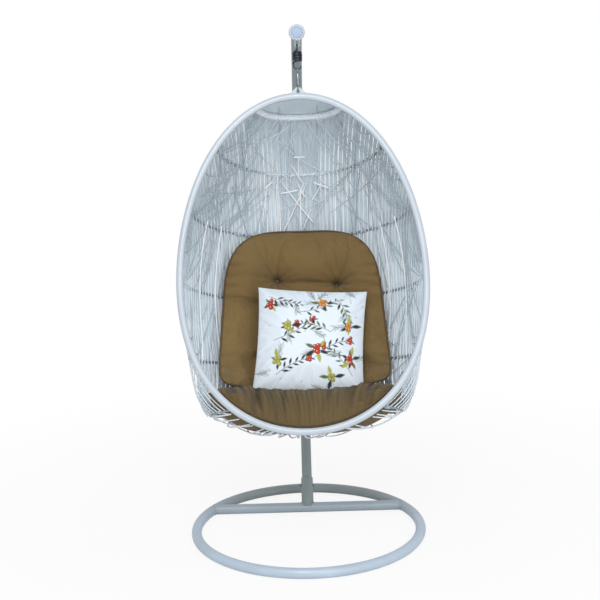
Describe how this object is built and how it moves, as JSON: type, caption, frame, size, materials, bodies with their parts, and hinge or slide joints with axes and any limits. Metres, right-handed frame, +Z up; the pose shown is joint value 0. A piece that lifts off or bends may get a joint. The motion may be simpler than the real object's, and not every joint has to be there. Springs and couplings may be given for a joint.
{
  "type": "hanging egg chair",
  "caption": "Hanging egg chair: an open woven basket with seat, back and throw cushions, hung by a spring and swivel from a curved post on a ring base.",
  "frame": {"origin": "on the floor, at the middle of the chair's footprint: half-way between the base ring's front edge and the post's back", "axes": "+X to the right of a viewer facing the chair, +Y away from the viewer towards the post, +Z up"},
  "size_m": [0.9428, 1.0558, 2.0019],
  "materials": {
    "frame_paint": "satin powder coat, pale grey-white",
    "strand": "round synthetic wicker, white",
    "spring_steel": "dark blued spring wire",
    "bright_steel": "zinc plated",
    "khaki_fabric": "woven polyester, khaki brown",
    "print_fabric": null,
    "cap_plastic": "pale blue-grey moulded plastic"
  },
  "bodies": {
    "stand": {"base_ring": "frame_paint", "crossbar": "frame_paint", "post_socket": "frame_paint", "lower_post": "frame_paint", "upper_post": "frame_paint", "post_spigot": "bright_steel", "socket_bolt": "bright_steel", "socket_bolt_nut": "bright_steel", "joint_bolt_lower": "bright_steel", "joint_bolt_lower_nut": "bright_steel", "joint_bolt_upper": "bright_steel", "joint_bolt_upper_nut": "bright_steel", "arm_end_cap": "cap_plastic", "hanger_eye": "frame_paint"},
    "spring": {"hanger_spring": "spring_steel"},
    "swivel_bar": {"swivel_barrel": "bright_steel"},
    "swivel_eye": {"swivel_lower_eye": "bright_steel"},
    "basket": {"egg_rim": "frame_paint", "top_hoop": "frame_paint", "hoop_1": "frame_paint", "hoop_2": "frame_paint", "hoop_3": "frame_paint", "hoop_4": "frame_paint", "hoop_5": "frame_paint", "rib_1": "frame_paint", "rib_2": "frame_paint", "rib_3": "frame_paint", "rib_4": "frame_paint", "rib_5": "frame_paint", "rib_6": "frame_paint", "rib_7": "frame_paint", "rib_8": "frame_paint", "weave_row1_panel1": "strand", "weave_row1_panel2": "strand", "weave_row2_panel1": "strand", "weave_row2_panel2": "strand", "weave_row2_panel3": "strand", "weave_row2_panel4": "strand", "weave_row3_panel1": "strand", "weave_row3_panel2": "strand", "weave_row3_panel3": "strand", "weave_row3_panel4": "strand", "weave_row4_panel1": "strand", "weave_row4_panel2": "strand", "weave_row4_panel3": "strand", "weave_row4_panel4": "strand", "weave_row5_panel1": "strand", "weave_row5_panel2": "strand", "weave_row5_panel3": "strand", "weave_row5_panel4": "strand", "weave_crown": "strand", "weave_bottom_right": "strand", "weave_bottom_left": "strand", "back_cushion": "khaki_fabric", "hanging_bracket": "frame_paint", "seat_cushion": "khaki_fabric", "throw_pillow": "print_fabric"}
  },
  "joints": [
    {"name": "hanger_swing", "type": "hinge", "parent": "stand", "child": "spring", "pos_m": [0, -0.0565, 1.9245], "axis": [1, 0, 0], "range_deg": [-15, 3]},
    {"name": "spring_stretch", "type": "slide", "parent": "spring", "child": "swivel_bar", "axis": [0, 0, -1], "range_m": [0, 0.04], "stiffness_N_per_m": 20000, "springref_m": -0.012, "deforming": ["hanger_spring"]},
    {"name": "basket_swivel", "type": "hinge", "parent": "swivel_bar", "child": "swivel_eye", "pos_m": [0, -0.0565, 1.78], "axis": [0, 0, 1], "continuous": true},
    {"name": "basket_sway", "type": "hinge", "parent": "swivel_eye", "child": "basket", "pos_m": [0, -0.0565, 1.758], "axis": [0, 1, 0], "range_deg": [-3, 3]}
  ]
}
